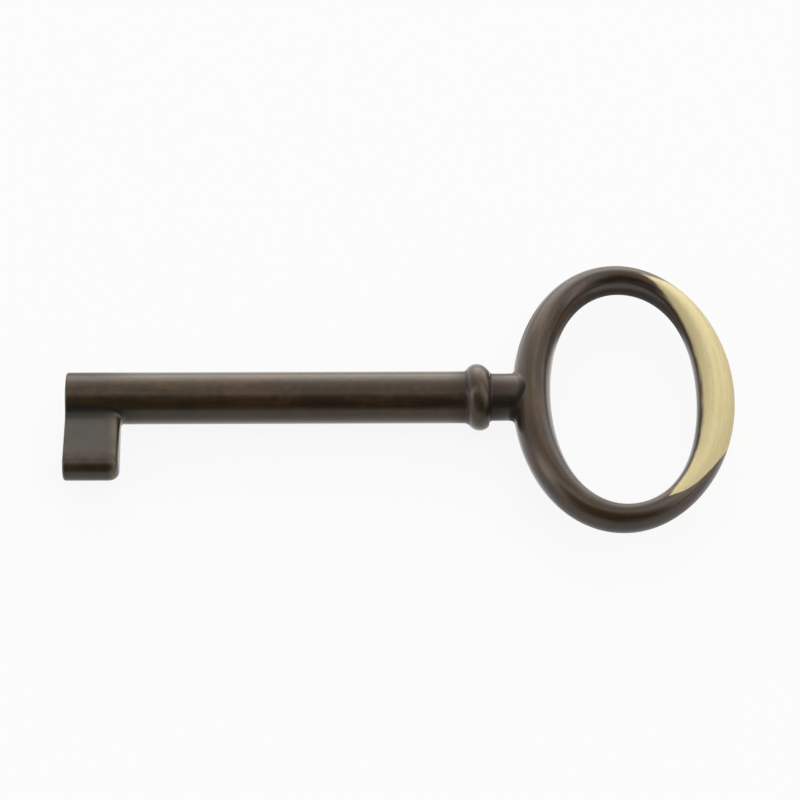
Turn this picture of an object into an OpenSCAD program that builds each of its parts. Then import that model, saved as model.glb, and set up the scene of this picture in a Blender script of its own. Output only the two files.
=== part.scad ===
// Pipe key for a furniture lock, lying flat. X runs from the tip to the bow,
// the bit points to -Y and the bow lies in the XY plane. The origin is on the
// barrel's axis, at the mouth of the drill-pin hole.

/* [Barrel] */
// Outside diameter of the barrel
barrel_d = 6; // [5:0.1:7]
// Length of the barrel, from the tip to the collar
barrel_len = 45.9; // [40:0.1:90]
// Diameter of the hole that slides over the lock's drill pin
bore_d = 3.6; // [2.6:0.1:4.2]
// Depth of that hole, without its drilled point
bore_depth = 24; // [10:0.5:30]
// Angle of the drilled point at its end
drill_point = 118; // [90:1:140]
// Rounding of the barrel's edge at the tip
tip_round = 0.25; // [0.1:0.05:0.5]

/* [Bit] */
// Width of the bit along the barrel
bit_w = 6.35; // [4:0.05:10]
// Reach of the bit, from the barrel's axis to its lower edge
bit_reach = 10.8; // [8:0.1:16]
// Thickness of the bit at its lower edge, which is a half round
bit_t = 3.6; // [2.4:0.1:4.4]
// Thickness of the bit where its faces leave the barrel
bit_root_t = 2.5; // [2.3:0.1:3.6]
// Rounding of the upright edges towards the bow
heel_edge_round = 0.8; // [0.3:0.05:0.9]
// Rounding of the upright edges at the tip
toe_edge_round = 0.3; // [0.1:0.05:0.6]
// Rounding of the lower corner towards the bow
heel_round = 1.3; // [0.3:0.05:1.6]
// Rounding of the lower corner at the tip
toe_round = 0.35; // [0.1:0.05:0.8]
// Thickness of the tongue that seats in the barrel's slot
tongue_t = 1.8; // [1:0.1:2.2]

/* [Collar] */
// Diameter of the collar over its bead
collar_d = 7.7; // [7.2:0.1:9]
// Width of the collar along the barrel
collar_w = 2.85; // [1.8:0.05:3.4]

/* [Stem] */
// Diameter of the neck between the collar and the bow
neck_d = 5.45; // [4.4:0.05:5.8]
// Length of the neck, from the collar to the bow's outer edge
neck_len = 2.5; // [1.5:0.1:6]
// Height of the small root fillet beside the collar
neck_step = 0.35; // [0.1:0.05:0.6]
// Diameter of the spigot that carries the collar and the barrel
spigot_d = 3.4; // [2.4:0.1:4]
// Length of the spigot inside the barrel
spigot_len = 8; // [4:0.5:12]
// Diameter of the tenon in the bow
tenon_d = 3; // [2:0.1:3.6]
// Length of the tenon in the bow
tenon_len = 3; // [1.5:0.1:3.6]

/* [Bow] */
// Width of the bow along the key
bow_w = 25.6; // [20:0.1:34]
// Height of the bow across the key
bow_h = 35.8; // [30:0.1:48]
// How far the bow's widest place lies from its middle towards the neck
bow_egg = 0.5; // [0:0.1:1.5]
// Width of the opening along the key
eye_w = 16.8; // [12:0.1:19]
// Height of the opening across the key
eye_h = 29.8; // [20:0.1:32]
// Fullness of the opening's shoulders beyond an ellipse
eye_full = 0.7; // [0:0.1:1.5]
// Thickness of the bow at the neck
root_t = 6; // [5.6:0.1:7]
// Thickness of the bow at its top and bottom
side_t = 4.15; // [3:0.05:5.5]
// Thickness of the bow at its far end
end_t = 3.8; // [2.8:0.1:5.5]
// Share of half the ring's width by which its crest lies towards the opening
crest_in = 0.1; // [0:0.01:0.3]

/* [Brazing] */
// Radial gap of a brazed spigot, tenon or tongue
braze_gap = 0.05; // [0.03:0.01:0.1]
// Radius of the fillet between the barrel and the bit's faces
bit_fillet = 1.7; // [0.8:0.1:3]
// Radius of the fillet between the barrel and the bit's heel
heel_fillet = 0.7; // [0.3:0.1:1.2]
// Radius of the fillet between the barrel and the collar
collar_fillet = 0.7; // [0.3:0.1:1.2]
// Spread of the fillet on the bow, in the bow's plane
bow_flare = 0.9; // [0.4:0.1:1.6]
// Spread of the fillet on the bow, towards its front and back
bow_flare_z = 0.15; // [0.05:0.05:0.2]
// Length of the fillet on the neck
neck_flare = 0.8; // [0.4:0.1:1.3]

/* [Hidden] */
$fn = 240;

// How far a cut runs past the material
cut = 1;
// Thickness at which a fillet's thin edge ends
feather = 0.03;
// How far a fillet is sunk before the piece beside it is cut away
sunk = 0.3;

barrel_r = barrel_d / 2;
bore_r = bore_d / 2;
bit_half = bit_t / 2;
edge_y = bit_half - bit_reach;
bead_r = collar_w / 2;
bead_x = barrel_len + bead_r;
bead_axis_r = collar_d / 2 - bead_r;
spigot_r = spigot_d / 2;
neck_r = neck_d / 2;
tenon_r = tenon_d / 2;
shoulder_x = barrel_len + collar_w;
bow_left = shoulder_x + neck_len;
bow_x = bow_left + bow_w / 2;
ring_w = (bow_w - eye_w) / 2;

// Angle of each face of the bit to the key's plane, and the face's distance
// from the barrel's axis. The face is tangent to the half-round edge.
face_len = -edge_y - barrel_r;
bit_taper = asin(bit_half / norm([face_len, bit_root_t / 2])) - atan(bit_root_t / 2 / face_len);
face_out = bit_half + edge_y * sin(bit_taper);

// Steps round the ring, round its section, and round the neck's fillet
ring_steps = 72;
section_steps = 20;
flare_steps = 48;
// Ring steps on each side of the neck that its end is shaped to
saddle_steps = 8;
// Angle of one flat on the hollow side of a fillet
fillet_step = 5;
// Steps round the bit's lower edge, and round its corners at the tip and the heel
edge_steps = 24;
toe_steps = 3;
heel_steps = 6;

// Turns a body of revolution from the Z axis on to the key's axis
module along_x() {
  rotate([0, 90, 0]) children();
}

// Body of revolution round the key's axis. The flat profile has the radius
// as its first coordinate and the distance from the tip as its second.
module turned() {
  along_x() rotate_extrude() children();
}

// Round bar on the key's axis between two distances from the tip
module bar(r, from, to) {
  along_x() translate([0, 0, from]) cylinder(r = r, h = to - from);
}

// Disc with short flats for its edge, which cuts the hollow side of a fillet
module flat_disc(r) {
  polygon([for (a = [0:fillet_step:360 - fillet_step]) r * [cos(a), sin(a)]]);
}

// What comes off a square corner at [0, 0] to round it, the material lying
// below and to the left
module corner_off(r) {
  difference() {
    translate([-r, -r]) square(r + cut);
    translate([-r, -r]) circle(r);
  }
}

// Closed skin over rows of points; the rows join up, or end in flat caps
module skin(rows, ring) {
  count = len(rows);
  side = len(rows[0]);
  last = ring ? count - 1 : count - 2;
  walls = [
    for (i = [0:last], j = [0:side - 1])
      let (a = i * side, b = ((i + 1) % count) * side, k = (j + 1) % side)
        each [[a + j, a + k, b + j], [a + k, b + k, b + j]]
  ];
  caps = ring ? [] : [
    [for (j = [side - 1:-1:0]) j],
    [for (j = [0:side - 1]) (count - 1) * side + j]
  ];
  polyhedron(points = [for (row = rows) each row], faces = concat(walls, caps));
}

// Outer and inner outline of the bow at an angle seen from its middle
function outer_at(u) = [bow_x + bow_w / 2 * cos(u) - bow_egg * pow(sin(u), 2), bow_h / 2 * sin(u)];
function inner_at(u) = [bow_x + (eye_w / 2 + eye_full * pow(sin(u), 2)) * cos(u), eye_h / 2 * sin(u)];

// Half the bow's thickness at that angle
function half_thick(u) =
  ((cos(u) < 0 ? root_t : end_t) * pow(cos(u), 2) + side_t * pow(sin(u), 2)) / 2;

// Place across the ring, from -1 at the opening to 1 at the outer edge
function across(v) = cos(v) - crest_in * pow(sin(v), 2);

// Point of the ring's surface at angle u round the bow and v round its section
function ring_point(u, v) =
  let (o = outer_at(u), i = inner_at(u), flat = (o + i) / 2 + (o - i) / 2 * across(v))
    [flat[0], flat[1], half_thick(u) * sin(v)];

function ring_row(u) = [for (j = [0:section_steps - 1]) ring_point(u, 360 * j / section_steps)];

// The whole ring
module ring() {
  skin([for (i = [0:ring_steps - 1]) ring_row(360 * i / ring_steps)], true);
}

// The stretch of the ring at the neck, with the same facets
module ring_root() {
  step = 360 / ring_steps;
  skin([for (i = [-saddle_steps:saddle_steps]) ring_row(180 + i * step)], false);
}

// Distance from the tip at which the ring's outer side has this y and z
function ring_x(y, z) =
  let (
    sv = min(1, abs(z) / half_thick(180)),
    s = sqrt(1 - sv * sv) - crest_in * sv * sv,
    half_h = (bow_h + eye_h) / 4 + (bow_h - eye_h) / 4 * s,
    u = 180 - asin(y / half_h),
    o = outer_at(u),
    i = inner_at(u)
  ) ((o + i) / 2 + (o - i) / 2 * s)[0];

// Section of the neck's fillet at angle a round the neck: from the neck, in a
// hollow curve, to the ring, and back inside both
function flare_row(a) =
  let (
    spread = bow_flare * pow(cos(a), 2) + bow_flare_z * pow(sin(a), 2),
    far_r = neck_r + spread,
    corner_x = ring_x(neck_r * cos(a), neck_r * sin(a)),
    start = [corner_x - neck_flare, neck_r + feather],
    corner = [corner_x - feather, neck_r + feather],
    end = [ring_x(far_r * cos(a), far_r * sin(a)) - feather, far_r],
    curve = [for (t = [0:0.2:1]) start * pow(1 - t, 2) + corner * 2 * t * (1 - t) + end * t * t],
    inside = [[end[0] + sunk, far_r], [corner_x + sunk, neck_r - sunk], [start[0], neck_r - sunk]]
  ) [for (p = concat(curve, inside)) [p[0], p[1] * cos(a), p[1] * sin(a)]];

// Barrel: a turned bar, drilled at the tip for the lock's pin and at the other
// end for the spigot, with a slot through the wall for the bit's tongue
module barrel() {
  color("#4f4338")
  difference() {
    turned()
      difference() {
        square([barrel_r, barrel_len]);
        translate([barrel_r, 0]) mirror([0, 1]) corner_off(tip_round);
      }
    bar(bore_r, -cut, bore_depth);
    along_x()
      translate([0, 0, bore_depth]) cylinder(r1 = bore_r, r2 = 0, h = bore_r / tan(drill_point / 2));
    bar(spigot_r + braze_gap, barrel_len - spigot_len - braze_gap, barrel_len + cut);
    tongue_space(braze_gap);
  }
}

// Space of the bit's tongue in the barrel's wall, larger by a gap
module tongue_space(gap) {
  translate([-cut, -barrel_r - cut, -tongue_t / 2 - gap])
    cube([bit_w - heel_edge_round + cut + gap, barrel_r + cut, tongue_t + 2 * gap]);
}

// Place in the section of the bit, as [z, y], of a point so far out from the
// barrel's axis square to the front face, and so far up along that face
function at_face(out, up) =
  [out * cos(bit_taper) - up * sin(bit_taper), out * sin(bit_taper) + up * cos(bit_taper)];

// Outline that is the same in front and behind, from its points in front
module both_faces(points) {
  behind = [for (i = [len(points) - 1:-1:0]) if (points[i][0] > 0) [-points[i][0], points[i][1]]];
  polygon(concat(points, behind));
}

// How far a round of radius r has drawn the outline in, at a depth into it
function drawn_in(r, depth) = r - sqrt(max(0, r * r - pow(max(0, depth), 2)));

// Radius of a corner at angle a round the lower edge: that of the upright edge
// at the faces (90), and of the lower corner at the very bottom (0)
function corner_r(a, upright, lower) = upright + (lower - upright) * pow(cos(a), 2);

// How far the bit's outline is drawn in at x, at angle a round the lower edge
function inset_at(x, a) =
  let (toe = corner_r(a, toe_edge_round, toe_round), heel = corner_r(a, heel_edge_round, heel_round))
    drawn_in(toe, toe - x) + drawn_in(heel, x - bit_w + heel);

// Outline of the bit across the barrel at x: down the back, round the lower
// edge and up the front, as far as the middle of the bore's lower half
function flag_row(x) =
  let (
    top = at_face(face_out - inset_at(x, 90), -bore_r / 2),
    edge = [
      for (i = [0:edge_steps])
        let (share = 2 * i / edge_steps - 1, a = (90 - bit_taper) * share)
          let (r = bit_half - inset_at(x, 90 * share))
            [x, edge_y - r * cos(a), r * sin(a)]
    ]
  ) concat([[x, top[1], -top[0]]], edge, [[x, top[1], top[0]]]);

// Flag of the bit before it is fitted to the barrel
module flag() {
  toe = [for (i = [0:toe_steps]) toe_round * (1 - cos(90 * i / toe_steps))];
  heel = [for (i = [0:heel_steps]) bit_w - heel_round * (1 - sin(90 * i / heel_steps))];
  skin([for (x = concat(toe, heel)) flag_row(x)], false);
}

// Bit: the flag, seated on the barrel, with a tongue in its wall that stops a
// gap short of the bore
module bit() {
  color("#5a554c")
  difference() {
    flag();
    difference() {
      bar(barrel_r, -cut, bit_w + cut);
      tongue_space(0);
    }
    bar(bore_r + braze_gap, -cut, bit_w + cut);
  }
}

// Fillets of braze round the bit's root: along both faces and round its heel
module bit_braze() {
  web_r = barrel_r + bit_fillet + feather;
  web_out = face_out + bit_fillet + feather;
  web_up = -sqrt(web_r * web_r - web_out * web_out);
  middle = at_face(web_out, web_up);
  heel_end = bit_w + heel_fillet;
  color("#4d463d")
  difference() {
    intersection() {
      // Both face fillets, and the space of the bit between them
      along_x()
        linear_extrude(heel_end)
          difference() {
            both_faces([at_face(face_out, web_up), middle, [0, 0]]);
            for (side = [-1, 1]) translate([side * middle[0], middle[1]]) flat_disc(bit_fillet);
          }
      union() {
        translate([0, -web_r, -web_r]) cube([bit_w, web_r, 2 * web_r]);
        turned()
          difference() {
            translate([0, bit_w]) square([barrel_r + heel_fillet, heel_fillet]);
            translate([barrel_r + feather + heel_fillet, heel_end + feather]) flat_disc(heel_fillet);
          }
      }
    }
    bar(barrel_r, -cut, heel_end + cut);
    flag();
  }
}

// Collar: a bead turned on a ring, on the spigot between barrel and neck
module collar() {
  color("#4a4038")
  turned()
    difference() {
      union() {
        translate([0, barrel_len]) square([bead_axis_r, collar_w]);
        translate([bead_axis_r, bead_x]) circle(bead_r);
      }
      translate([-bead_r, barrel_len - cut]) square([bead_r + spigot_r + braze_gap, collar_w + 2 * cut]);
    }
}

// Fillet of braze between the barrel and the collar's bead
module collar_braze() {
  web_r = barrel_r + collar_fillet + feather;
  reach = bead_r + collar_fillet + feather;
  web_x = bead_x - sqrt(reach * reach - pow(web_r - bead_axis_r, 2));
  color("#6b6760")
  turned()
    difference() {
      polygon([
        [barrel_r, web_x], [web_r, web_x],
        [max(barrel_r, bead_axis_r), bead_x], [barrel_r, bead_x]
      ]);
      translate([web_r, web_x]) flat_disc(collar_fillet);
      translate([bead_axis_r, bead_x]) circle(bead_r);
    }
}

// Stem: the spigot, the neck with its end shaped to the bow, and the tenon
module stem() {
  color("#4a3f35")
  union() {
    bar(spigot_r, barrel_len - spigot_len, shoulder_x + cut);
    difference() {
      turned()
        union() {
          translate([0, shoulder_x]) square([neck_r, neck_len + ring_w / 2]);
          difference() {
            translate([0, shoulder_x]) square([neck_r + neck_step, neck_step]);
            translate([neck_r + neck_step, shoulder_x + neck_step]) circle(neck_step);
          }
        }
      ring_root();
    }
    bar(tenon_r, bow_left - cut, bow_left + tenon_len);
  }
}

// Bow: the oval ring, drilled for the tenon
module bow() {
  color("#63564a")
  difference() {
    ring();
    bar(tenon_r + braze_gap, bow_left - cut, bow_left + tenon_len + braze_gap);
  }
}

// Fillet of braze where the neck meets the bow
module bow_braze() {
  color("#54493e")
  difference() {
    skin([for (i = [0:flare_steps - 1]) flare_row(360 * i / flare_steps)], true);
    bar(neck_r, shoulder_x, bow_x);
    ring_root();
  }
}

barrel();
bit();
bit_braze();
collar();
collar_braze();
stem();
bow();
bow_braze();
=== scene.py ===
import math

import bmesh
import bpy
import numpy as np
from mathutils import Matrix, Vector


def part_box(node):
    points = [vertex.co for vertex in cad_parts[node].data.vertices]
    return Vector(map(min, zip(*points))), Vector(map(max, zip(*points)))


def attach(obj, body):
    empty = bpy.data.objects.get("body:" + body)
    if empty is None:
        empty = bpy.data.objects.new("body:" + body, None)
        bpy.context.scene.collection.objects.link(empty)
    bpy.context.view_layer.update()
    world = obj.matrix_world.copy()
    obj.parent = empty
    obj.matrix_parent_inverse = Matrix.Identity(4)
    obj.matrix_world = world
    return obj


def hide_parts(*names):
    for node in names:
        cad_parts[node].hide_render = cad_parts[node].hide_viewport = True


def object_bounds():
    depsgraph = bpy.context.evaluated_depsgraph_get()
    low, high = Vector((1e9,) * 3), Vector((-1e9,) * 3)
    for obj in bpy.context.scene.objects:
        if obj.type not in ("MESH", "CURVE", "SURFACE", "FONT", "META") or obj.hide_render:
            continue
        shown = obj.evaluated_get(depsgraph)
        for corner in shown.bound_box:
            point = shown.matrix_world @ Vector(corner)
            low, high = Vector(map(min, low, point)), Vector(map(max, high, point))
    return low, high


# A pipe key for a furniture lock, in brass with a brown patina. X runs from the tip to the bow,
# the bit points to -Y and the bow lies in the XY plane. Lengths are metres and angles degrees.

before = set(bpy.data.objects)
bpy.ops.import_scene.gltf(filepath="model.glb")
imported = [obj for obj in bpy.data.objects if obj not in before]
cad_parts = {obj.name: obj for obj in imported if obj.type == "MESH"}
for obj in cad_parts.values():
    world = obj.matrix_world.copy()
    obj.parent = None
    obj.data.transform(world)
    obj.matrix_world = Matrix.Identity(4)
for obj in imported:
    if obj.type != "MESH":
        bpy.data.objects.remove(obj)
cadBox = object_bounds()
print("frame loaded:", ", ".join(sorted(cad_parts)))


# Shapes as grids of points

def arc(centre, radius, start, end, steps):
    # Points of a flat circle from one angle to another: centre + radius (cos, sin)
    angle = np.radians(np.linspace(start, end, steps + 1))
    return np.array(centre) + radius * np.stack([np.cos(angle), np.sin(angle)], 1)


def eased(share):
    # Smooth step from 0 to 1: 3 t2 - 2 t3
    t = np.clip(share, 0, 1)
    return t ** 2 * (3 - 2 * t)


def bell(distance, width):
    # 1 at no distance and next to nothing at two widths: e to the power -(distance / width)2
    return np.exp(-(distance / width) ** 2)


def held(path, gap=0.00003):
    # Adds a point close to both ends of each long stretch of a path, so that smooth shading
    # stays flat between them
    start, step = path[:-1], np.diff(path, axis=0)
    share = gap / np.maximum(np.linalg.norm(step, axis=1, keepdims=True), 4 * gap)
    triple = np.stack([start, start + step * share, start + step * (1 - share)], 1)
    isLong = share[:, 0] < 0.2
    keep = np.stack([np.ones_like(isLong), isLong, isLong], 1)
    return np.concatenate([triple[keep], path[-1:]])


def fullTurn(steps):
    # Angles of a full turn, in radians, which stop one step before the first comes again
    return 2 * np.pi * np.arange(steps) / steps


def rings(x, r, angle):
    # Points round the key's axis: (x, r cos a, r sin a)
    return np.stack(np.broadcast_arrays(x, r * np.cos(angle), r * np.sin(angle)), -1)


def turned(profile, steps):
    # A profile of (x, r) carried round the key's axis
    return rings(profile[:, :1], profile[:, 1:], fullTurn(steps))


def gridPiece(name, grid, marks, closedRows=False, capped=False):
    # Four-sided faces between neighbouring points of a grid of rows. Each row closes on itself,
    # the rows close on each other too if closedRows, and capped fills the first and last row.
    # marks are values for the points, kept as attributes for the finish.
    rows, columns = grid.shape[:2]
    index = np.arange(rows * columns).reshape(rows, columns)
    below = np.roll(index, -1, 0)
    quads = np.stack([index, np.roll(index, -1, 1), np.roll(below, -1, 1), below], -1)
    faces = (quads if closedRows else quads[:-1]).reshape(-1, 4).tolist()
    if capped:
        faces += [index[0].tolist(), index[-1].tolist()]
    mesh = bpy.data.meshes.new(name)
    mesh.from_pydata(grid.reshape(-1, 3).tolist(), [], faces)
    for mark, values in marks.items():
        values = np.broadcast_to(values, (rows, columns) + np.shape(values)[2:])
        kind, field = ("FLOAT", "value") if values.ndim == 2 else ("FLOAT_VECTOR", "vector")
        attribute = mesh.attributes.new(mark, kind, "POINT")
        attribute.data.foreach_set(field, values.astype(np.float32).ravel())
    work = bmesh.new()
    work.from_mesh(mesh)
    bmesh.ops.remove_doubles(work, verts=work.verts, dist=1e-7)
    bmesh.ops.recalc_face_normals(work, faces=work.faces)
    work.to_mesh(mesh)
    work.free()
    mesh.polygons.foreach_set("use_smooth", np.ones(len(mesh.polygons), bool))
    mesh.set_sharp_from_angle(angle=math.radians(40))
    piece = bpy.data.objects.new(name, mesh)
    bpy.context.scene.collection.objects.link(piece)
    return piece


def seat(piece, slot, finish, *nodes):
    # Gives a piece its finish and its body, and hides the nodes that it stands for
    piece.data.materials.append(finish)
    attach(piece, "root")
    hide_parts(*nodes)
    print(piece.name, "has", len(piece.data.polygons), "faces")


# Finishes

class Wire:
    # A shader socket that Python's operators work on, each adding one Math node

    def __init__(self, tree, socket):
        self.tree, self.socket = tree, socket

    def add(self, kind, settings=None, inputs=None, output=0):
        # Any node: its settings first, then the values or links of its sockets
        node = self.tree.nodes.new(kind)
        for setting, value in (settings or {}).items():
            if setting == "stops":
                ramp = node.color_ramp.elements
                while len(ramp) < len(value):
                    ramp.new(1)
                for stop, (place, colour) in zip(ramp, value):
                    stop.position, stop.color = place, (*colour, 1)
            else:
                setattr(node, setting, value)
        for key, value in (inputs or {}).items():
            if isinstance(value, Wire):
                self.tree.links.new(value.socket, node.inputs[key])
            else:
                node.inputs[key].default_value = value
        return Wire(self.tree, node.outputs[output]) if node.outputs else None

    def math(self, operation, *others):
        return self.add("ShaderNodeMath", {"operation": operation}, dict(enumerate((self, *others))))

    def __add__(self, other):
        return self.math("ADD", other)

    def __sub__(self, other):
        return self.math("SUBTRACT", other)

    def __rsub__(self, other):
        return (self * -1).math("ADD", other)

    def __mul__(self, other):
        return self.math("MULTIPLY", other)

    def __truediv__(self, other):
        return self.math("DIVIDE", other)

    __radd__ = __add__
    __rmul__ = __mul__

    def contrast(self, strength):
        # Spreads a value of 0 to 1 away from its middle
        return (self - 0.5) * strength + 0.5

    def step(self, low, high):
        # Smooth step from 0 at low to 1 at high
        return self.add("ShaderNodeMapRange", {"interpolation_type": "SMOOTHSTEP"},
                        {"Value": self, "From Min": low, "From Max": high})

    def tint(self, low, high):
        # Colour between two colours, this value being the share of the second
        return self.add("ShaderNodeMix", {"data_type": "RGBA"}, {0: self, 6: low, 7: high}, 2)

    def noise(self, scale, detail=2.0, w=None):
        # Soft noise from 0 to 1 over this vector, four-dimensional where w is given
        settings = {"noise_dimensions": "4D" if w else "3D"}
        inputs = {"Vector": self, "Scale": scale, "Detail": detail, **({"W": w} if w else {})}
        return self.add("ShaderNodeTexNoise", settings, inputs)

    def scaled(self, x, y, z):
        return self.add("ShaderNodeVectorMath", {"operation": "MULTIPLY"}, {0: self, 1: (x, y, z)})

    def part(self, axis):
        return self.add("ShaderNodeSeparateXYZ", None, {0: self}, "XYZ".index(axis))

    def mark(self, name, output="Fac"):
        # A value that the piece keeps for its points, or 0 where it keeps none
        return self.add("ShaderNodeAttribute", {"attribute_name": name}, None, output)

    def millimetres(self):
        # The place on the piece
        return self.add("ShaderNodeTexCoord", None, None, "Object").scaled(1000, 1000, 1000)

    def ray(self, kind):
        # 1 for what one kind of ray sees, such as Camera
        return self.add("ShaderNodeLightPath", None, None, "Is " + kind + " Ray")


def rgba(red, green, blue):
    return (red, green, blue, 1)


def newFinish(name):
    material = bpy.data.materials.new(name)
    material.use_nodes = True
    tree = material.node_tree
    tree.nodes.clear()
    return material, Wire(tree, None)


# Noise scales are per millimetre, ranges are where a smooth step starts and ends, and heights are
# shares of bumpDistance. The marks for wear, olive and shade run from 0 to 1: how far an edge is
# rubbed, how green the patina is, partly a painted greenish reflection, and how much painted shade
# lies in a corner or on the side towards the bit.
patina = {
    "brown": rgba(0.034, 0.019, 0.009),
    "russet": rgba(0.072, 0.035, 0.014),
    # Olive, partly a painted greenish reflection, then the dark colour of painted shade
    "olive": rgba(0.019, 0.019, 0.008),
    "grime": rgba(0.010, 0.008, 0.006),
    "rubbed": rgba(0.130, 0.085, 0.034),
    "cloudScale": 0.16,
    "oliveScale": 0.23,
    "wearScale": 0.8,
    "fleckScale": 1.1,
    "pitScale": 2.5,
    "russetRange": (0.54, 0.74),
    "oliveRange": (0.50, 0.72),
    "wearRange": (0.35, 0.65),
    "oliveShare": 0.6,
    "rubbedShare": 0.6,
    "metallic": 0.35,
    "roughness": 0.33,
    "roughStreak": 0.12,
    "roughScratch": 0.08,
    "roughPaintedShade": 0.35,
    "scratchHeight": 0.10,
    "pitHeight": 0.12,
    "bumpDistance": 0.00001,
    "coatWeight": 1.0,
    "coatRoughness": 0.22,
    "coatIor": 1.38,
    "paintedShadeDulls": 0.9,
}

# Ring noise is its rate round the bow, its rate round the section, and its detail
brass = {
    "light": rgba(0.700, 0.610, 0.365),
    "dark": rgba(0.540, 0.455, 0.245),
    "brassRange": (0.30, 0.70),
    "streakNoise": (1.2, 3.6, 4.0),
    "streakContrast": 3.8,
    "broadNoise": (0.8, 4.0, 2.0),
    "broadContrast": 1.3,
    "edgeNoise": (7.0, 6.0, 3.0),
    "hairNoise": (14.0, 26.0, 3.0),
    "fineHairNoise": (30.0, 80.0, 2.0),
    "ragged": 1.1,
    "leastRagged": 0.08,
    "leastSoft": 0.05,
    "roughness": 0.60,
    "roughHair": 0.12,
    "hairHeight": 0.5,
    "fineHairHeight": 0.3,
    "patinaHeight": 0.1,
    "dullRange": (0.50, 0.90),
    "dullShare": 0.6,
    "coatLost": 0.9,
}


def finishShader(start, colour, roughness, metallic, bump, coat, gleam=rgba(1, 1, 1)):
    # The metal's shader, with a clear lacquer over it. gleam is the colour of the metal's gloss.
    height = start.add("ShaderNodeBump", None, {
        "Strength": 1.0, "Distance": patina["bumpDistance"], "Height": bump})
    shader = start.add("ShaderNodeBsdfPrincipled", None, {
        "Base Color": colour, "Roughness": roughness, "Metallic": metallic, "Normal": height,
        "Coat Weight": coat, "Coat Roughness": patina["coatRoughness"],
        "Coat IOR": patina["coatIor"], "Specular Tint": gleam})
    start.add("ShaderNodeOutputMaterial", None, {"Surface": shader})


def patinaColour(place, streak, wear):
    # Brown, with soft russet and olive clouds, finer flecks, streaks and rubbed edges. The olive
    # clouds read a mirrored place, so that they lie elsewhere than the russet ones.
    cloud = place.noise(patina["cloudScale"], 3.0)
    fleck = place.noise(patina["fleckScale"], 3.0)
    russet = (cloud * 0.4 + fleck * 0.35 + streak * 0.5).step(*patina["russetRange"])
    greenCloud = place.scaled(1, -1, 1).noise(patina["oliveScale"], 2.0)
    olive = (greenCloud * 0.7 + streak * 0.3).step(*patina["oliveRange"]) * patina["oliveShare"]
    # The piece's olive mark adds more olive, partly a painted greenish reflection
    olive = (olive + place.mark("olive") * (0.75 + fleck * 0.5)).math("MINIMUM", 1.0)
    colour = russet.tint(patina["brown"], patina["russet"])
    colour = olive.tint(colour, patina["olive"])
    return (wear * patina["rubbedShare"]).tint(colour, patina["rubbed"])


def patinaFinish(name, grain, fineGrain, gleam):
    # Patina on a turned or flat piece. grain stretches the streaks, and fineGrain the scratches:
    # the larger number is the direction across them.
    material, start = newFinish(name)
    place = start.millimetres()
    streak = place.scaled(*grain).noise(1.0, 3.0)
    scratch = place.scaled(*fineGrain).noise(1.0, 2.0)
    # Painted shade: where the piece's mark for it is high, the colour darkens, the surface is rougher
    # and the lacquer thinner
    grime = start.mark("grime")
    patches = place.noise(patina["wearScale"], 3.0).step(*patina["wearRange"])
    wear = start.mark("wear") * (patches * 0.7 + 0.3)
    colour = grime.tint(patinaColour(place, streak, wear), patina["grime"])
    roughness = (patina["roughness"] + (streak - 0.5) * patina["roughStreak"]
                 + (scratch - 0.5) * patina["roughScratch"] + grime * patina["roughPaintedShade"])
    pits = place.noise(patina["pitScale"], 3.0)
    bump = scratch * patina["scratchHeight"] + pits * patina["pitHeight"]
    coat = patina["coatWeight"] * (1 - grime * patina["paintedShadeDulls"])
    finishShader(start, colour, roughness, patina["metallic"], bump, coat, gleam)
    return material


def bowFinish(name):
    # Patina on the bow, brushed back to bright brass where the mark brushed is positive. softness
    # is how far the patina fades in there. Both are millimetres. The marks around and section are
    # the directions round the bow and round its section.
    material, start = newFinish(name)
    around = start.mark("around", "Vector")
    section = start.mark("section", "Vector")
    brushed = start.mark("brushed")
    softness = start.mark("softness")

    def alongRing(slow, fast, detail):
        # Noise drawn out along the ring: slow round the bow, fast round its section
        vector = start.add("ShaderNodeVectorMath", {"operation": "MULTIPLY_ADD"},
                           {0: around, 1: (slow, slow, 0), 2: section.scaled(0, 0, fast)})
        return vector.noise(1.0, detail, w=section.part("Y") * fast)

    streak = alongRing(*brass["streakNoise"]).contrast(brass["streakContrast"])
    broad = alongRing(*brass["broadNoise"]).contrast(brass["broadContrast"])
    hair = alongRing(*brass["hairNoise"])
    fineHair = alongRing(*brass["fineHairNoise"])
    ragged = softness * brass["ragged"] + brass["leastRagged"]
    ragged = (alongRing(*brass["edgeNoise"]) - 0.5) * ragged
    bare = ((brushed + ragged) / (softness + brass["leastSoft"])).step(0.0, 1.0)

    metal = (hair * 0.4 + fineHair * 0.35 + broad * 0.25).step(*brass["brassRange"])
    metal = metal.tint(brass["dark"], brass["light"])
    colour = bare.tint(patinaColour(start.millimetres(), streak, start.mark("wear")), metal)
    roughness = patina["roughness"] + (brass["roughness"] - patina["roughness"]) * bare
    roughness = roughness + (hair - 0.5) * brass["roughHair"]
    metallic = patina["metallic"] + (1 - patina["metallic"]) * bare
    bump = hair * brass["hairHeight"] + fineHair * brass["fineHairHeight"]
    bump = bump * (bare * (1 - brass["patinaHeight"]) + brass["patinaHeight"])
    dull = streak.step(*brass["dullRange"]) * brass["dullShare"]
    coat = patina["coatWeight"] * (1 - dull) * (1 - bare * brass["coatLost"])
    finishShader(start, colour, roughness, metallic, bump, coat)
    return material


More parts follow.
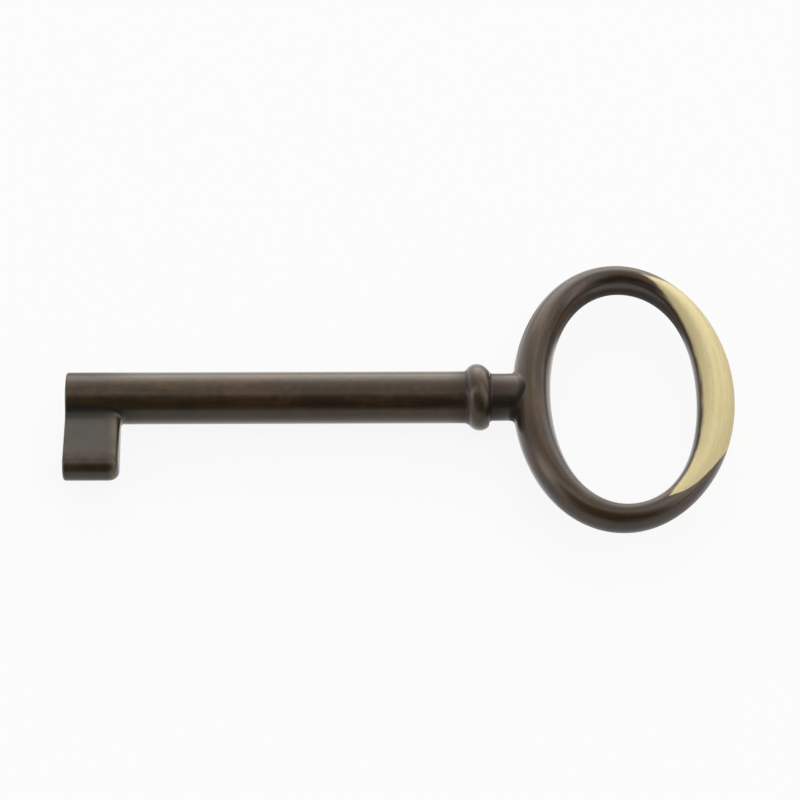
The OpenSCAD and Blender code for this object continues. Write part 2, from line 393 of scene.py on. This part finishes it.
turnedFinish = patinaFinish("brownPatinaTurned", grain=(6.0, 0.5, 0.5), fineGrain=(40.0, 2.0, 2.0),
                            gleam=rgba(1.0, 0.82, 0.74))
barrelFinish = patinaFinish("brownPatinaBarrel", grain=(0.15, 1.4, 1.4), fineGrain=(2.0, 30.0, 30.0),
                            gleam=rgba(1.0, 0.81, 0.60))
bitFinish = patinaFinish("brownPatinaBit", grain=(0.6, 0.3, 0.6), fineGrain=(24.0, 2.0, 24.0),
                         gleam=rgba(1, 1, 1))
bowPatina = bowFinish("brownPatinaBow")
print("finishes made")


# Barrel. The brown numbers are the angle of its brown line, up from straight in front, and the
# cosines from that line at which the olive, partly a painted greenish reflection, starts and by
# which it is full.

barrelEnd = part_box("barrel")[1]
barrel = {
    "radius": barrelEnd.z,
    "length": barrelEnd.x,
    "tipRound": 0.00025,
    "boreRadius": 0.0018,
    "boreDepth": 0.024,
    "boreMouth": 0.00006,
    "drillPoint": 118,
    "spigotBoreRadius": 0.00175,
    "spigotBoreDepth": 0.00805,
    "wallSteps": 48,
    "steps": 192,
    "wear": 0.6,
    "brownAt": 75,
    "brownEdge": 0.97,
    "brownFade": 0.25,
    "tipLength": 0.018,
    "oliveAndReflectionAlong": 0.35,
    "oliveAndReflectionBehind": 0.3,
    "overBitLength": 0.0068,
    "overBitPaintedShade": 0.55,
    "collarLength": 0.0011,
    "collarPaintedShade": 0.5,
}


def makeBarrel(s):
    # One profile, turned: from the bottom of the drill-pin hole, out of its mouth, over the tip,
    # along the outside and into the hole for the spigot
    point = s["boreRadius"] / math.tan(math.radians(s["drillPoint"] / 2))
    spigotEnd = s["length"] - s["spigotBoreDepth"]
    tip = arc((s["tipRound"], s["radius"] - s["tipRound"]), s["tipRound"], 180, 90, 8)
    wall = np.linspace(s["tipRound"], s["length"], s["wallSteps"])[1:]
    profile = held(np.concatenate([
        [(s["boreDepth"] + point, 0), (s["boreDepth"], s["boreRadius"])],
        [(s["boreMouth"], s["boreRadius"]), (0, s["boreRadius"] + s["boreMouth"])],
        tip,
        np.stack([wall, np.full_like(wall, s["radius"])], 1),
        [(s["length"], s["spigotBoreRadius"])],
        [(spigotEnd, s["spigotBoreRadius"]), (spigotEnd, 0)],
    ]))
    grid = turned(profile, s["steps"])
    x, y = grid[..., 0], grid[..., 1]
    outside = profile[:, 1:] > (s["boreRadius"] + s["radius"]) / 2
    wear = s["wear"] * (1 - np.clip(x / (2 * s["tipRound"]), 0, 1)) * outside

    # Brown along a line above the front, and greener away from it, partly a painted greenish
    # reflection: most near the tip, less along the barrel and least behind it. fromBrown is the cosine
    # of the angle to that line. Painted shade lies over the bit and before the collar, in the corners
    # where the barrel meets them.
    brownAt = math.radians(s["brownAt"])
    fromBrown = grid[..., 1:] @ np.array([-math.cos(brownAt), math.sin(brownAt)]) / s["radius"]
    atTip = bell(x, s["tipLength"])
    inFront = np.clip(0.5 - 2 * y / s["radius"], 0, 1)
    along = s["oliveAndReflectionAlong"] + (1 - s["oliveAndReflectionAlong"]) * atTip
    around = s["oliveAndReflectionBehind"] + (1 - s["oliveAndReflectionBehind"]) * np.maximum(inFront, atTip)
    olive = np.clip((s["brownEdge"] - fromBrown) / s["brownFade"], 0, 1) * along * around
    overBit = np.exp(-(x / s["overBitLength"]) ** 4) * np.clip(4 * (0.95 - fromBrown), 0, 1)
    atCollar = bell(s["length"] - x, s["collarLength"])
    grime = s["overBitPaintedShade"] * overBit + s["collarPaintedShade"] * atCollar
    return gridPiece("barrelTube", grid, {"wear": wear, "olive": olive, "grime": grime})


seat(makeBarrel(barrel), "barrel", barrelFinish, "barrel")


# Collar and the fillet of braze before it

collarLow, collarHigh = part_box("collar")
collar = {
    "from": collarLow.x,
    "to": collarHigh.x,
    "crest": (collarHigh.z - collarLow.z) / 2,
    "boreRadius": 0.00175,
    "filletRadius": 0.0007,
    "lean": 0.055,
    "leanFrom": 0.0027,
    "leanTo": 0.0033,
    "leanFade": 0.15,
    "steps": 192,
    "wear": 0.4,
    "grime": 0.6,
    "olive": 0.6,
    "filletPaintedShade": 0.4,
}
collar["beadRadius"] = (collar["to"] - collar["from"]) / 2
collar["beadX"] = collar["from"] + collar["beadRadius"]
collar["beadR"] = collar["crest"] - collar["beadRadius"]


def leant(grid, s):
    # The bead sits a little askew: x moves by -lean y outside the barrel's wall, fading to
    # nothing at the neck
    x, y, z = grid[..., 0], grid[..., 1], grid[..., 2]
    outside = (np.hypot(y, z) - s["leanFrom"]) / (s["leanTo"] - s["leanFrom"])
    beforeNeck = (s["to"] - x) / (s["leanFade"] * (s["to"] - s["from"]))
    return np.stack([x - s["lean"] * y * eased(outside) * eased(beforeNeck), y, z], -1)


def makeCollar(s):
    # Half a circle for the bead, closed by the two flat sides and the hole, turned and leant
    bead = arc((s["beadX"], s["beadR"]), s["beadRadius"], 180, 0, 48)
    profile = held(np.concatenate([[(s["from"], s["boreRadius"])], bead, [(s["to"], s["boreRadius"])]]))
    grid = leant(turned(profile, s["steps"]), s)
    crest = np.clip((profile[:, 1:] - s["beadR"]) / s["beadRadius"], 0, 1) ** 3
    # More olive on the side towards the bit, partly a painted greenish reflection, and painted shade
    # there on the half towards the neck
    low = np.clip(-0.2 - 1.4 * grid[..., 1] / s["crest"], 0, 1)
    neckSide = np.clip((grid[..., 0] - s["beadX"]) / s["beadRadius"], 0, 1)
    marks = {"wear": s["wear"] * crest, "grime": s["grime"] * low * neckSide, "olive": s["olive"] * low}
    return gridPiece("collarBead", grid, marks, closedRows=True)


def makeCollarFillet(s, barrelRadius):
    # A hollow arc that touches the barrel and the bead, closed inside them, turned and leant
    r = s["filletRadius"]
    centre = np.array([0, barrelRadius + r])
    rise = centre[1] - s["beadR"]
    centre[0] = s["beadX"] - math.sqrt((s["beadRadius"] + r) ** 2 - rise ** 2)
    meet = math.degrees(math.atan2(-rise, s["beadX"] - centre[0]))
    hollow = arc(centre, r, -90, meet, 16)
    inside, under = s["from"] + s["beadRadius"] / 4, barrelRadius - r / 7
    profile = np.concatenate([hollow, [(inside, s["beadR"] + r), (inside, under), (centre[0], under)]])
    grid = leant(turned(profile, s["steps"]), s)
    # Painted shade over the whole fillet
    return gridPiece("collarFillet", grid, {"grime": s["filletPaintedShade"]}, closedRows=True)


seat(makeCollar(collar), "collar", turnedFinish, "collar")
seat(makeCollarFillet(collar, barrel["radius"]), "braze", turnedFinish, "collar_braze")


# Bow: an oval ring whose section is set by its outer and inner outline and its thickness

bowLow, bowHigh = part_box("bow")
bow = {
    "left": collar["to"] + 0.0025,
    "right": bowHigh.x,
    "height": bowHigh.y - bowLow.y,
    "egg": 0.0005,
    "eyeWidth": 0.0168,
    "eyeHeight": 0.0298,
    "eyeFull": 0.0007,
    "rootThick": bowHigh.z - bowLow.z,
    "sideThick": 0.00415,
    "endThick": 0.0038,
    "crestIn": 0.1,
    "stepsRound": 432,
    "stepsSection": 96,
    "wear": 0.35,
    "wearAt": 75,
    "wearWidth": 22,
}
bow["x"] = (bow["left"] + bow["right"]) / 2
bow["width"] = bow["right"] - bow["left"]


def halfThick(u):
    # Half the bow's thickness at angle u: cos2 u of that at the neck or the far end, and sin2 u of
    # that at the sides
    end = np.where(np.cos(u) < 0, bow["rootThick"], bow["endThick"])
    return (end * np.cos(u) ** 2 + bow["sideThick"] * np.sin(u) ** 2) / 2


def ringPoint(u, v):
    # Outer outline: an ellipse pulled to the neck by egg sin2 u. Inner outline: an ellipse made
    # wider by eyeFull sin2 u. Across the ring: cos v - crestIn sin2 v. Height: thickness sin v.
    c, s = np.cos(u), np.sin(u)
    outerX, outerY = bow["x"] + bow["width"] / 2 * c - bow["egg"] * s ** 2, bow["height"] / 2 * s
    innerX = bow["x"] + (bow["eyeWidth"] / 2 + bow["eyeFull"] * s ** 2) * c
    innerY = bow["eyeHeight"] / 2 * s
    across = np.cos(v) - bow["crestIn"] * np.sin(v) ** 2
    x = (outerX + innerX) / 2 + (outerX - innerX) / 2 * across
    y = (outerY + innerY) / 2 + (outerY - innerY) / 2 * across
    return np.stack([x, y, halfThick(u) * np.sin(v)], -1)


def ringX(y, z):
    # X of the ring's side towards the neck at this y and z. The angles are found from y and z
    # in turn, a few times over.
    u = np.full(np.shape(y + z), np.pi)
    for _ in range(6):
        v = np.arcsin(np.clip(z / halfThick(u), -1, 1))
        across = np.cos(v) - bow["crestIn"] * np.sin(v) ** 2
        half = (bow["height"] + bow["eyeHeight"]) / 4 + (bow["height"] - bow["eyeHeight"]) / 4 * across
        u = np.pi - np.arcsin(np.clip(y / half, -1, 1))
    return ringPoint(u, v)[..., 0]


# The brushed stretch, between two lines that are angles round the section (90 on top) at angles
# round the bow (0 at the far end), smoothed over some degrees. The back is brushed like the front.
# Soft is how many millimetres a line fades over. The outer line's grows from outerSoft to startSoft
# between the angles startOver.
brushing = {
    "round": (-67, -62, -55, -40, -30, -24, -6, 14, 30, 45, 56, 66, 74, 80),
    "inner": (84, 105, 120, 130, 133, 134, 141, 147, 150, 142, 128, 108, 92, 84),
    "outer": (94, 84, 64, 44, 27, 3, -60, -90, -90, 0, 40, 66, 82, 84),
    "smoothOver": 19,
    "innerSoft": 0.55,
    "outerSoft": 0.10,
    "startSoft": 0.40,
    "startOver": (20, 50),
}


def makeBow(s):
    # ringPoint at angles u round the bow and v round its section
    u = np.radians(np.linspace(-180, 180, s["stepsRound"], endpoint=False))[:, None]
    v = np.radians(np.linspace(-180, 180, s["stepsSection"], endpoint=False))[None, :]
    u, v = np.broadcast_arrays(u, v)
    roundBow, roundSection = np.degrees(u), abs(np.degrees(v))

    # Distance in millimetres into the brushed stretch, negative outside it
    smooth = np.hanning(brushing["smoothOver"])
    smooth = smooth / smooth.sum()
    fine = np.arange(-200, 201)
    inner, outer = (np.convolve(np.interp(fine, brushing["round"], brushing[line]), smooth, "same")
                    for line in ("inner", "outer"))
    perDegree = 1000 * halfThick(u) * np.pi / 180
    fromInner = (np.interp(roundBow, fine, inner) - roundSection) * perDegree
    fromOuter = (roundSection - np.interp(roundBow, fine, outer)) * perDegree
    softs = brushing["outerSoft"], brushing["startSoft"]
    outerSoft = np.interp(roundBow, brushing["startOver"], softs)
    marks = {
        "around": np.stack([np.cos(u), np.sin(u), np.zeros_like(u)], -1),
        "section": np.stack([np.zeros_like(v), np.sin(v), np.cos(v)], -1),
        "brushed": np.minimum(fromInner, fromOuter),
        "softness": np.where(fromInner < fromOuter, brushing["innerSoft"], outerSoft),
        "wear": s["wear"] * bell(roundSection - s["wearAt"], s["wearWidth"]),
    }
    return gridPiece("bowRing", ringPoint(u, v), marks, closedRows=True)


seat(makeBow(bow), "bow", bowPatina, "bow")


# Stem: spigot, neck and tenon

stemLow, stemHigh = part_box("stem")
stem = {
    "from": stemLow.x,
    "to": stemHigh.x,
    "spigotRadius": 0.0017,
    "neckRadius": 0.002725,
    "neckHollow": 0.00035,
    "tenonRadius": 0.0015,
    "chamfer": 0.0002,
    "saddleSteps": 6,
    "steps": 192,
    "olive": 0.9,
    "lowPaintedShade": 0.3,
    "hollowPaintedShade": 0.6,
}


def makeStem(s, bead):
    # A profile, turned: the spigot, the flat behind the bead, and the neck's start, a hollow arc
    # that touches the bead. The neck ends on the ring, x = ringX(r cos a, r sin a), and from there
    # the tenon runs on to its end.
    shoulder, r = bead["to"], s["neckHollow"]
    rise = s["neckRadius"] + r - bead["beadR"]
    centreX = bead["beadX"] + math.sqrt((bead["beadRadius"] + r) ** 2 - rise ** 2)
    meet = 180 + math.degrees(math.atan2(rise, centreX - bead["beadX"]))
    front = held(np.concatenate([
        [(s["from"], 0), (s["from"], s["spigotRadius"] - s["chamfer"])],
        [(s["from"] + s["chamfer"], s["spigotRadius"]), (shoulder, s["spigotRadius"])],
        [(shoulder, bead["beadR"])],
        arc((centreX, s["neckRadius"] + r), r, meet, 270, 10),
    ]))
    angle = fullTurn(s["steps"])
    radii = np.linspace(s["neckRadius"], s["tenonRadius"], s["saddleSteps"])[:, None]
    saddle = rings(ringX(radii * np.cos(angle), radii * np.sin(angle)), radii, angle)
    end, tenon = s["to"], s["tenonRadius"]
    back = np.array([(end - s["chamfer"], tenon), (end, tenon - s["chamfer"]), (end, 0)])
    grid = np.concatenate([turned(front, s["steps"]), saddle, turned(back, s["steps"])])
    # More olive on the side towards the bit, partly a painted greenish reflection; painted shade there
    # and in the hollow by the bead
    low = np.clip(-0.4 - 1.6 * grid[..., 1] / s["neckRadius"], 0, 1)
    grime = s["lowPaintedShade"] * low + s["hollowPaintedShade"] * bell(grid[..., 0] - shoulder, r)
    return gridPiece("neckStem", grid, {"olive": s["olive"] * low, "grime": grime})


seat(makeStem(stem, collar), "stem", turnedFinish, "stem")


# Fillet of braze from the neck to the bow: how far it runs along the neck, how far it spreads on
# the ring in the bow's plane and square to it, how thick its edges are and how deep its back lies

flare = {
    "onNeck": 0.0008,
    "inPlane": 0.0009,
    "frontBack": 0.00004,
    "edge": 0.000006,
    "sunk": 0.0003,
    "steps": 192,
    "curveSteps": 16,
    "olive": 0.9,
}


def makeFlare(s, neckRadius):
    # Hollow curve from the neck to the ring at each angle round the neck: a quadratic Bezier
    # curve, a (1 - t)2 + b 2 t (1 - t) + c t2, whose corner b is where the neck meets the ring.
    # Its back is sunk into both.
    angle = fullTurn(s["steps"])[:, None]
    t = np.linspace(0, 1, s["curveSteps"])[None, :]
    near = neckRadius + s["edge"]
    far = neckRadius + s["inPlane"] * np.cos(angle) ** 4 + s["frontBack"]
    cornerX = ringX(neckRadius * np.cos(angle), neckRadius * np.sin(angle))
    farX = ringX(far * np.cos(angle), far * np.sin(angle))
    x = (cornerX - s["onNeck"]) * (1 - t) ** 2 + cornerX * 2 * t * (1 - t) + (farX - s["edge"]) * t ** 2
    r = near * (1 - t) ** 2 + near * 2 * t * (1 - t) + far * t ** 2
    inside = np.full_like(far, neckRadius - s["sunk"])
    x = np.concatenate([x, farX + s["sunk"], cornerX + s["sunk"], cornerX - s["onNeck"]], 1)
    r = np.concatenate([r, far, inside, inside], 1)

    # Painted shade in the hollow, most on the side towards the bit and none on the three columns of
    # the back; more olive there too, partly a painted greenish reflection
    hollow = np.concatenate([np.sin(np.pi * t), np.zeros((1, 3))], 1)
    low = np.clip(0.9 - np.cos(angle), 0, 1)
    marks = {"grime": low * hollow ** 0.5, "olive": s["olive"] * low}
    return gridPiece("neckFlare", rings(x, r, angle), marks, closedRows=True)


seat(makeFlare(flare, stem["neckRadius"]), "braze", turnedFinish, "bow_braze")


# Bit and the fillet of braze round its root. The toe is the side at the tip and the heel the other,
# a round is a corner's radius, and half is half the thickness.

bitLow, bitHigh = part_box("bit")
bit = {
    "width": bitHigh.x,
    "reach": -bitLow.y,
    "half": 0.0018,
    "rootHalf": 0.00125,
    "heelRound": 0.0008,
    "heelRoundBelow": 0.0013,
    "toeRound": 0.0003,
    "toeRoundBelow": 0.00035,
    "faceFillet": 0.0017,
    "heelFillet": 0.0007,
    "filletSunk": 0.0002,
    "shrinkBefore": 0.0012,
    "shrinkLength": 0.0018,
    "faceSteps": 12,
    "edgeSteps": 48,
    "rootSteps": 11,
    "rubFrom": 0.0007,
    "rubWidth": 0.00042,
    "toeWear": 0.5,
    "toeWearWidth": 0.0003,
    "olive": 0.9,
    "warmAt": 0.0095,
    "warmWidth": 0.0014,
    "warmLess": 0.6,
    "heelLess": 0.4,
    "rootPaintedShade": 0.5,
    "paintedShadeReach": 0.0007,
    "heelFilletLessShade": 0.8,
}
bit["centreY"] = bit["half"] - bit["reach"]


def bitTaper(s, barrelRadius):
    # Angle of a face to the key's plane, in radians: the face leaves the barrel rootHalf from the
    # plane and ends tangent to the half-round edge
    along = -s["centreY"] - barrelRadius
    return math.asin(s["half"] / math.hypot(along, s["rootHalf"])) - math.atan2(s["rootHalf"], along)


def drawnIn(radius, depth):
    # How far a corner has drawn an outline in, at a depth into it: r - sqrt(r2 - depth2)
    return radius - np.sqrt((radius ** 2 - depth.clip(0) ** 2).clip(0))


def makeBit(s, barrelRadius):
    # Rows: places along the key, close together at the rounded ends. Columns: the outline seen
    # along the barrel: a face from the barrel down, the half-round edge, the other face up, and
    # back along the barrel. A corner's radius goes with cos2 of the angle round the edge from its
    # value at the upright edge to that at the lower corner.
    turn = np.radians(np.linspace(0, 90, 15))
    toe = s["toeRoundBelow"] * (1 - np.cos(turn[::2]))
    heel = s["width"] - s["heelRoundBelow"] * (1 - np.sin(turn))
    x = held(np.concatenate([toe, heel])[:, None])
    side = np.linspace(1, -1, s["edgeSteps"] + 1)[None, :]
    taper = bitTaper(s, barrelRadius)
    angle = (math.pi / 2 - taper) * side
    below = np.cos(math.pi / 2 * side) ** 2
    toeRadius = s["toeRound"] + (s["toeRoundBelow"] - s["toeRound"]) * below
    heelRadius = s["heelRound"] + (s["heelRoundBelow"] - s["heelRound"]) * below
    atToe = drawnIn(toeRadius, toeRadius - x)
    atHeel = drawnIn(heelRadius, x - s["width"] + heelRadius)
    half = s["half"] - atToe - atHeel
    edge = np.stack([s["centreY"] - half * np.cos(angle), half * np.sin(angle)], -1)

    fromAxis = half[:, :1] + s["centreY"] * math.sin(taper)
    start = -np.sqrt(barrelRadius ** 2 - fromAxis ** 2)
    end = s["centreY"] * math.cos(taper)
    along = start + (end - start) * np.linspace(0, 1, s["faceSteps"] + 1)[None, :-1]
    front = np.stack([fromAxis * math.sin(taper) + along * math.cos(taper),
                      fromAxis * math.cos(taper) - along * math.sin(taper)], -1)
    back = front[:, ::-1] * [1, -1]
    z = front[:, :1, 1] * np.linspace(-1, 1, s["rootSteps"] + 1)[None, 1:-1]
    root = np.stack([-np.sqrt(barrelRadius ** 2 - z ** 2), z], -1)
    outline = np.concatenate([front, edge, back, root], 1)

    # Both ends close on the middle of the outline
    middle = np.broadcast_to([s["centreY"] / 2, 0], (1, outline.shape[1], 2))
    x = np.concatenate([x[:1], x, x[-1:]])
    outline = np.concatenate([middle, outline, middle])
    grid = np.concatenate([np.broadcast_to(x[:, :, None], outline.shape[:2] + (1,)), outline], -1)

    # Rubbed along the heel and the toe, warmer across the lower part of the faces and towards the
    # heel, greener elsewhere, partly a painted greenish reflection, and painted shade at the root
    # where the faces meet the barrel
    down = -grid[..., 1]
    wear = bell(x - s["width"] + s["rubFrom"], s["rubWidth"])
    wear = wear + s["toeWear"] * bell(x - s["toeRound"] / 2, s["toeWearWidth"])
    warm = bell(down - s["warmAt"], s["warmWidth"]) * (abs(grid[..., 2]) > s["half"] / 2)
    olive = s["olive"] - s["warmLess"] * warm - s["heelLess"] * (x / s["width"]) ** 2
    grime = s["rootPaintedShade"] * bell((down - barrelRadius).clip(0), s["paintedShadeReach"])
    return gridPiece("bitFlag", grid, {"wear": wear, "olive": olive, "grime": grime})


def makeBitFillet(s, barrelRadius):
    # A ball rolls in the corner between the bit's wall and the barrel, from the toe along the
    # front, round the heel and back. Its centre is r from the wall and r from the barrel. The
    # faces lean by the taper, so places and normals are turned by it round the key's axis.
    taper = bitTaper(s, barrelRadius)
    flat, corner = s["width"] - s["heelRound"], s["heelRound"]
    half = s["half"] + s["centreY"] * math.sin(taper)
    turn = np.radians(np.linspace(0, 90, 17))
    toe = s["toeRound"] * (1 - np.cos(turn[::2]))
    x = np.concatenate([toe, np.linspace(s["toeRound"], flat, 14)[1:-1], flat + corner * np.sin(turn)])
    bend = np.concatenate([np.zeros(len(x) - len(turn)), turn])
    w, nx, lean = half - corner + corner * np.cos(bend), np.sin(bend), np.full(len(x), taper)
    side = np.linspace(1, -1, 11)[1:-1]
    x = np.concatenate([x, np.full_like(side, s["width"]), x[::-1]])[:, None]
    w = np.concatenate([w, (half - corner) * side, -w[::-1]])[:, None]
    nx = np.concatenate([nx, np.ones_like(side), nx[::-1]])[:, None]
    nw = np.sqrt(1 - nx ** 2) * np.sign(w)
    lean = np.concatenate([lean, taper * side, -lean])[:, None]

    # The radius shrinks from the face's to the heel's, from a little before the rounded heel on
    share = (x - flat + s["shrinkBefore"]) / s["shrinkLength"]
    share = eased(np.maximum(share, np.arctan2(nx, abs(nw)) / (np.pi / 2)))
    r = s["faceFillet"] + (s["heelFillet"] - s["faceFillet"]) * share

    def placed(x, along, w):
        # From the leaning frame to the key's: along runs down the face, w square to it
        y, z = w * np.sin(lean) - along * np.cos(lean), w * np.cos(lean) + along * np.sin(lean)
        return np.stack([x, y, z], -1)

    centreW = w + nw * r
    centre = placed(x + nx * r, np.sqrt((barrelRadius + r) ** 2 - centreW ** 2), centreW)
    toWall = placed(-nx, np.zeros_like(x), -nw)
    toBarrel = -centre * [0, 1, 1] / (barrelRadius + r)[:, :, None]
    angle = np.arccos(np.clip((toWall * toBarrel).sum(-1, keepdims=True), -1, 1))
    t = np.linspace(0, 1, 17)[None, :, None]
    ray = (toWall * np.sin((1 - t) * angle) + toBarrel * np.sin(t * angle)) / np.sin(angle)
    inset = drawnIn(s["toeRound"], s["toeRound"] - x)
    hollow = centre + (r + inset)[:, :, None] * ray
    sunk = s["filletSunk"]
    under = placed(x - nx * sunk, np.sqrt((barrelRadius - sunk) ** 2 - w ** 2), w - nw * sunk)
    # Painted shade in the hollow: none where it meets the bit's wall, most where it meets the barrel,
    # and less round the heel
    marks = {
        "olive": s["olive"] - s["heelLess"] * (x / s["width"]) ** 2,
        "grime": (1 - s["heelFilletLessShade"] * share) * np.append(t.ravel(), 0),
    }
    return gridPiece("bitFillet", np.concatenate([hollow, under], 1), marks, capped=True)


seat(makeBit(bit, barrel["radius"]), "bit", bitFinish, "bit")
seat(makeBitFillet(bit, barrel["radius"]), "braze", bitFinish, "bit_braze")


# Stage: a pale floor and a soft studio round it. The whites are how much of plain white the floor
# shows to the camera and to reflections, and pairs of lengths are where a smooth step starts and
# ends. levels holds pairs of angle and level for directions from -1 to 1 along X.

studio = {
    "floorSize": 6.0,
    "floorColour": rgba(0.80, 0.80, 0.80),
    "floorWhite": 0.90,
    "whiteInFront": 0.20,
    "whiteBehind": 1.0,
    "shade": 0.50,
    "shankBack": (-0.014, 0.003),
    "bowBack": (-0.016, -0.010),
    "bowFrom": (0.046, 0.052),
    "bowTo": (0.072, 0.080),
    "shadeFrom": (0.008, 0.011),
    "shadeTo": (0.016, 0.020),
    "brightest": 4.0,
    "levels": (
        (-1.00, ((0, 1.4), (30, 1.3), (60, 2.1), (80, 2.9), (90, 2.6), (105, 1.2), (120, 0.5),
                 (180, 0.7))),
        (-0.72, ((0, 0.5), (20, 0.25), (40, 0.05), (55, 0.05), (65, 0.35), (72, 0.8), (80, 1.8),
                 (90, 1.5), (105, 0.2), (120, 0.3), (135, 0.9), (150, 0.8), (165, 1.0), (180, 1.9))),
        (0.00, ((0, 0.5), (10, 0.08), (20, 0.02), (57, 0.02), (65, 0.15), (72, 0.5), (80, 1.0),
                (90, 0.5), (105, 0.8), (120, 1.0), (135, 1.3), (150, 2.7), (165, 2.8), (180, 3.5))),
        (0.50, ((0, 0.4), (10, 0.05), (40, 0.05), (50, 0.5), (60, 0.6), (70, 1.1), (80, 1.5),
                (90, 1.7), (105, 1.7), (120, 0.5), (135, 1.7), (165, 2.0), (180, 3.2))),
        (1.00, ((0, 1.5), (20, 1.0), (35, 1.0), (50, 1.5), (75, 2.1), (90, 1.9), (105, 0.6),
                (120, 0.15), (180, 0.9))),
    ),
}


def makeFloor(s, height):
    # A pale plane. Camera rays see most of it as plain white and the rest keeps the key's shadow.
    # Reflections see it whiter behind the key than in front, and shaded under the bow's top.
    half = s["floorSize"] / 2
    corners = [(x, y, height) for x, y in ((-half, -half), (half, -half), (half, half), (-half, half))]
    mesh = bpy.data.meshes.new("floor")
    mesh.from_pydata(corners, [], [(0, 1, 2, 3)])
    floor = bpy.data.objects.new("floor", mesh)
    bpy.context.scene.collection.objects.link(floor)
    material, start = newFinish("paleFloor")
    reflected = start.ray("Glossy").math("MAXIMUM", start.ray("Transmission"))
    place = start.add("ShaderNodeTexCoord", None, None, "Object")
    x, y = place.part("X"), place.part("Y")
    atBow = x.step(*s["bowFrom"])
    behind = y.step(*s["shankBack"]) * (1 - atBow) + y.step(*s["bowBack"]) * atBow
    shade = atBow * (1 - x.step(*s["bowTo"])) * y.step(*s["shadeFrom"]) * (1 - y.step(*s["shadeTo"]))
    white = start.add("ShaderNodeEmission", None, {"Color": rgba(1, 1, 1), "Strength": 1.0})
    dark = start.add("ShaderNodeEmission", None, {"Color": rgba(0, 0, 0), "Strength": 0.0})
    plain = start.add("ShaderNodeBsdfDiffuse", None, {"Color": s["floorColour"]})
    shading = reflected * shade * s["shade"]
    shaded = start.add("ShaderNodeMixShader", None, {0: shading, 1: plain, 2: dark})
    seen = (behind * s["whiteBehind"] + (1 - behind) * s["whiteInFront"]) * (1 - shade)
    share = start.ray("Camera") * s["floorWhite"] + reflected * seen
    mixed = start.add("ShaderNodeMixShader", None, {0: share, 1: shaded, 2: white})
    start.add("ShaderNodeOutputMaterial", None, {"Surface": mixed})
    mesh.materials.append(material)


def makeStudio(s):
    # Light by direction: the level at each angle round X, from straight in front over the top to
    # straight behind, blended along X by smooth steps. It is dark low in front, where the camera
    # stands, and bright behind. Camera rays see white.
    world = bpy.data.worlds.new("studio")
    world.use_nodes = True
    world.node_tree.nodes.clear()
    start = Wire(world.node_tree, None)
    direction = start.add("ShaderNodeTexCoord", None, None, "Generated")
    x, y, z = (direction.part(axis) for axis in "XYZ")
    turn = (z.math("ARCTAN2", y * -1) / math.pi).math("MAXIMUM", 0.0)

    level, last = None, None
    for across, angles in s["levels"]:
        stops = [(angle / 180, (value / s["brightest"],) * 3) for angle, value in angles]
        here = start.add("ShaderNodeValToRGB", {"stops": stops}, {0: turn}) * s["brightest"]
        share = x.step(last, across) if level else None
        level = level * (1 - share) + here * share if level else here
        last = across
    sky = start.add("ShaderNodeBackground", None, {"Color": rgba(1, 1, 1), "Strength": level})
    white = start.add("ShaderNodeBackground", None, {"Color": rgba(1, 1, 1), "Strength": 1.0})
    mixed = start.add("ShaderNodeMixShader", None, {0: start.ray("Camera"), 1: sky, 2: white})
    start.add("ShaderNodeOutputWorld", None, {"Surface": mixed})
    bpy.context.scene.world = world


makeFloor(studio, cadBox[0].z)
makeStudio(studio)
bpy.context.scene.view_settings.view_transform = "Standard"
print("studio made")


# Camera: a long lens that looks down at a slant, with the key's axis rising a little to the right

view = {
    "target": Vector((0.03834, -0.00034, 0)),
    "slant": 33.0,
    "roll": -0.19,
    "pixelsPerMetre": 8690,
    "focalPixels": 3570,
    "framePixels": 800,
    "sensor": 36.0,
}


def makeCamera(s):
    # It stands where a metre at the target is pixelsPerMetre wide
    lens = bpy.data.cameras.new("camera")
    lens.sensor_width = s["sensor"]
    lens.lens = s["focalPixels"] / s["framePixels"] * s["sensor"]
    camera = bpy.data.objects.new("camera", lens)
    bpy.context.scene.collection.objects.link(camera)
    distance = s["focalPixels"] / s["pixelsPerMetre"]
    turn = Matrix.Rotation(math.radians(s["slant"]), 4, "X")
    turn = turn @ Matrix.Rotation(math.radians(s["roll"]), 4, "Z")
    camera.matrix_world = Matrix.Translation(s["target"]) @ turn @ Matrix.Translation((0, 0, distance))
    bpy.context.scene.camera = camera


makeCamera(view)
print("camera made")
